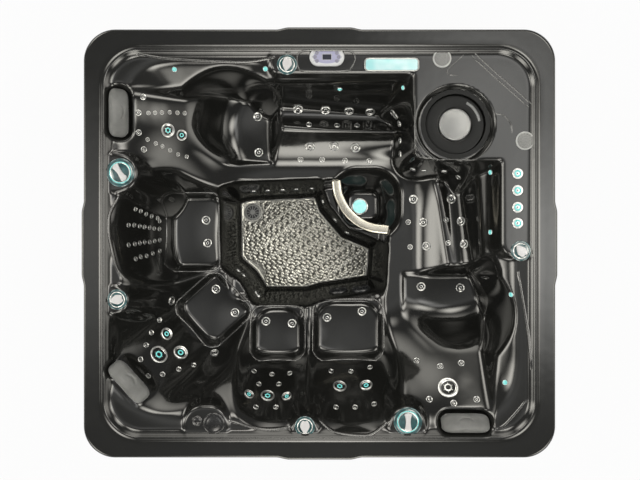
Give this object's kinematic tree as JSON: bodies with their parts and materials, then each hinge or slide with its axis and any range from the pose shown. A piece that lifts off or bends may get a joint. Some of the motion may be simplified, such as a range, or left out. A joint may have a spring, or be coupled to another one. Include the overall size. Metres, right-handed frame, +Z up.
{
  "type": "hot tub",
  "caption": "Rectangular acrylic hot tub with loungers, bucket seats, a footwell, turning valve handles, jets, pillows, a lift-out filter and a boarded cabinet.",
  "frame": {"origin": "centre of the base pan's underside, on the ground", "axes": "+X along the longer side, to the right of the picture; +Y to the top of the picture, towards the control panel; +Z up"},
  "size_m": [2.2, 2, 0.9063],
  "materials": {
    "shell": "gloss acrylic",
    "base_pan": "moulded",
    "corner_post_1": "grained",
    "corner_post_2": "grained",
    "corner_post_3": "grained",
    "corner_post_4": "grained",
    "top_frame": "sawn",
    "cabinet_front": "grained boards",
    "cabinet_left": "grained boards",
    "cabinet_right": "grained boards",
    "access_panel": "grained boards",
    "control_box": "moulded",
    "heater_tube": "brushed",
    "jet_pump_motor": "satin paint",
    "jet_pump_wet_end": "moulded",
    "circulation_pump": "moulded",
    "air_blower": "moulded",
    "suction_pipe": "flexible tube",
    "drain_spout": "moulded",
    "drain_cap": "moulded",
    "floor_drain": "moulded",
    "skimmer_canister": "moulded",
    "filter_cartridge": "pleated",
    "skimmer_ring": "satin",
    "float_disc": "brushed cap",
    "control_panel": "gloss",
    "display_window": "dark window",
    "button_1": "satin",
    "button_2": "satin",
    "button_3": "satin",
    "button_4": "satin",
    "button_5": "satin",
    "button_6": "satin",
    "waterfall_spout": "gloss with a lit slot",
    "speaker_1": "textured",
    "speaker_2": "textured",
    "diverter_1_body": "tinted clear",
    "diverter_1_handle": "pearl",
    "diverter_2_body": "tinted clear",
    "diverter_2_handle": "pearl",
    "valve_1_body": "tinted clear",
    "valve_1_handle": "pearl",
    "valve_2_body": "tinted clear",
    "valve_2_handle": "pearl",
    "valve_3_body": "tinted clear",
    "valve_3_handle": "pearl",
    "valve_4_body": "tinted clear",
    "valve_4_handle": "pearl",
    "pillow_top_lounger": "skinned foam",
    "pillow_corner_seat": "skinned foam",
    "pillow_right_lounger": "skinned foam",
    "grab_rail": "brushed",
    "suction_cover_1": "moulded",
    "suction_cover_2": "moulded",
    "footwell_light": "lit lens",
    "corner_back_jet": "polished face",
    "lounger_back_jet": "polished face",
    "top_lounger_jet": "polished face",
    "near_seat_jet": "polished face",
    "far_seat_jet": "polished face"
  },
  "bodies": {
    "tub": {"shell": "shell", "base_pan": "base_pan", "corner_post_1": "corner_post_1", "corner_post_2": "corner_post_2", "corner_post_3": "corner_post_3", "corner_post_4": "corner_post_4", "top_frame": "top_frame", "cabinet_front": "cabinet_front", "cabinet_left": "cabinet_left", "cabinet_right": "cabinet_right", "control_box": "control_box", "heater_tube": "heater_tube", "jet_pump_motor": "jet_pump_motor", "jet_pump_wet_end": "jet_pump_wet_end", "circulation_pump": "circulation_pump", "air_blower": "air_blower", "suction_pipe": "suction_pipe", "drain_spout": "drain_spout", "floor_drain": "floor_drain", "skimmer_canister": "skimmer_canister", "control_panel": "control_panel", "display_window": "display_window", "waterfall_spout": "waterfall_spout", "speaker_1": "speaker_1", "speaker_2": "speaker_2", "diverter_1_body": "diverter_1_body", "diverter_2_body": "diverter_2_body", "valve_1_body": "valve_1_body", "valve_2_body": "valve_2_body", "valve_3_body": "valve_3_body", "valve_4_body": "valve_4_body", "grab_rail": "grab_rail", "suction_cover_1": "suction_cover_1", "suction_cover_2": "suction_cover_2", "footwell_light": "footwell_light"},
    "access_panel": {"access_panel": "access_panel"},
    "drain_cap": {"drain_cap": "drain_cap"},
    "filter": {"skimmer_ring": "skimmer_ring", "filter_cartridge": "filter_cartridge"},
    "float_disc": {"float_disc": "float_disc"},
    "button_1": {"button_1": "button_1"},
    "button_2": {"button_2": "button_2"},
    "button_3": {"button_3": "button_3"},
    "button_4": {"button_4": "button_4"},
    "button_5": {"button_5": "button_5"},
    "button_6": {"button_6": "button_6"},
    "diverter_1_handle": {"diverter_1_handle": "diverter_1_handle"},
    "diverter_2_handle": {"diverter_2_handle": "diverter_2_handle"},
    "valve_1_handle": {"valve_1_handle": "valve_1_handle"},
    "valve_2_handle": {"valve_2_handle": "valve_2_handle"},
    "valve_3_handle": {"valve_3_handle": "valve_3_handle"},
    "valve_4_handle": {"valve_4_handle": "valve_4_handle"},
    "pillow_top_lounger": {"pillow_top_lounger": "pillow_top_lounger"},
    "pillow_corner_seat": {"pillow_corner_seat": "pillow_corner_seat"},
    "pillow_right_lounger": {"pillow_right_lounger": "pillow_right_lounger"},
    "corner_back_jet": {"corner_back_jet": "corner_back_jet"},
    "lounger_back_jet": {"lounger_back_jet": "lounger_back_jet"},
    "top_lounger_jet": {"top_lounger_jet": "top_lounger_jet"},
    "near_seat_jet": {"near_seat_jet": "near_seat_jet"},
    "far_seat_jet": {"far_seat_jet": "far_seat_jet"}
  },
  "joints": [
    {"name": "access_panel_off", "type": "slide", "parent": "tub", "child": "access_panel", "axis": [0, 1, 0], "range_m": [0, 0.3]},
    {"name": "drain_cap_turn", "type": "hinge", "parent": "tub", "child": "drain_cap", "pos_m": [-1.06, -0.75, 0.07], "axis": [-1, 0, 0], "range_deg": [0, 90]},
    {"name": "filter_lift", "type": "slide", "parent": "tub", "child": "filter", "axis": [0, 0, 1], "range_m": [0, 0.42]},
    {"name": "float_bob", "type": "slide", "parent": "filter", "child": "float_disc", "axis": [0, 0, 1], "range_m": [-0.02, 0]},
    {"name": "button_1_press", "type": "slide", "parent": "tub", "child": "button_1", "axis": [0, 0, -1], "range_m": [0, 0.0012], "stiffness_N_per_m": 600},
    {"name": "button_2_press", "type": "slide", "parent": "tub", "child": "button_2", "axis": [0, 0, -1], "range_m": [0, 0.0012], "stiffness_N_per_m": 600},
    {"name": "button_3_press", "type": "slide", "parent": "tub", "child": "button_3", "axis": [0, 0, -1], "range_m": [0, 0.0012], "stiffness_N_per_m": 600},
    {"name": "button_4_press", "type": "slide", "parent": "tub", "child": "button_4", "axis": [0, 0, -1], "range_m": [0, 0.0012], "stiffness_N_per_m": 600},
    {"name": "button_5_press", "type": "slide", "parent": "tub", "child": "button_5", "axis": [0, 0, -1], "range_m": [0, 0.0012], "stiffness_N_per_m": 600},
    {"name": "button_6_press", "type": "slide", "parent": "tub", "child": "button_6", "axis": [0, 0, -1], "range_m": [0, 0.0012], "stiffness_N_per_m": 600},
    {"name": "diverter_1_turn", "type": "hinge", "parent": "tub", "child": "diverter_1_handle", "pos_m": [-0.9196, 0.327, 0.9], "axis": [0, 0, 1], "range_deg": [-90, 90]},
    {"name": "diverter_2_turn", "type": "hinge", "parent": "tub", "child": "diverter_2_handle", "pos_m": [0.4081, -0.822, 0.9], "axis": [0, 0, 1], "range_deg": [-90, 90]},
    {"name": "valve_1_turn", "type": "hinge", "parent": "tub", "child": "valve_1_handle", "pos_m": [-0.1496, 0.826, 0.9], "axis": [0, 0, 1], "range_deg": [-60, 60]},
    {"name": "valve_2_turn", "type": "hinge", "parent": "tub", "child": "valve_2_handle", "pos_m": [-0.9339, -0.259, 0.9], "axis": [0, 0, 1], "range_deg": [-60, 60]},
    {"name": "valve_3_turn", "type": "hinge", "parent": "tub", "child": "valve_3_handle", "pos_m": [-0.0671, -0.844, 0.9], "axis": [0, 0, 1], "range_deg": [-60, 60]},
    {"name": "valve_4_turn", "type": "hinge", "parent": "tub", "child": "valve_4_handle", "pos_m": [0.9295, -0.034, 0.9], "axis": [0, 0, 1], "range_deg": [-60, 60]},
    {"name": "pillow_top_lounger_off", "type": "slide", "parent": "tub", "child": "pillow_top_lounger", "axis": [0.6157, 0, 0.788], "range_m": [0, 0.1]},
    {"name": "pillow_corner_seat_off", "type": "slide", "parent": "tub", "child": "pillow_corner_seat", "axis": [0.4575, 0.412, 0.788], "range_m": [0, 0.1]},
    {"name": "pillow_right_lounger_off", "type": "slide", "parent": "tub", "child": "pillow_right_lounger", "axis": [0, 0.6157, 0.788], "range_m": [0, 0.1]},
    {"name": "corner_back_jet_turn", "type": "hinge", "parent": "tub", "child": "corner_back_jet", "pos_m": [-0.7918, -0.5479, 0.6707], "axis": [0.5748, 0.4732, 0.6675], "range_deg": [-90, 90]},
    {"name": "lounger_back_jet_turn", "type": "hinge", "parent": "tub", "child": "lounger_back_jet", "pos_m": [0.6149, -0.6888, 0.7739], "axis": [-0.0296, 0.5508, 0.8341], "range_deg": [-90, 90]},
    {"name": "top_lounger_jet_turn", "type": "hinge", "parent": "tub", "child": "top_lounger_jet", "pos_m": [-0.7324, 0.546, 0.7389], "axis": [0.5433, -0.0659, 0.837], "range_deg": [-90, 90]},
    {"name": "near_seat_jet_turn", "type": "hinge", "parent": "tub", "child": "near_seat_jet", "pos_m": [-0.253, -0.7428, 0.7085], "axis": [0.1505, 0.8274, 0.541], "range_deg": [-90, 90]},
    {"name": "far_seat_jet_turn", "type": "hinge", "parent": "tub", "child": "far_seat_jet", "pos_m": [0.1001, -0.7088, 0.651], "axis": [0.1151, 0.8187, 0.5626], "range_deg": [-90, 90]}
  ]
}
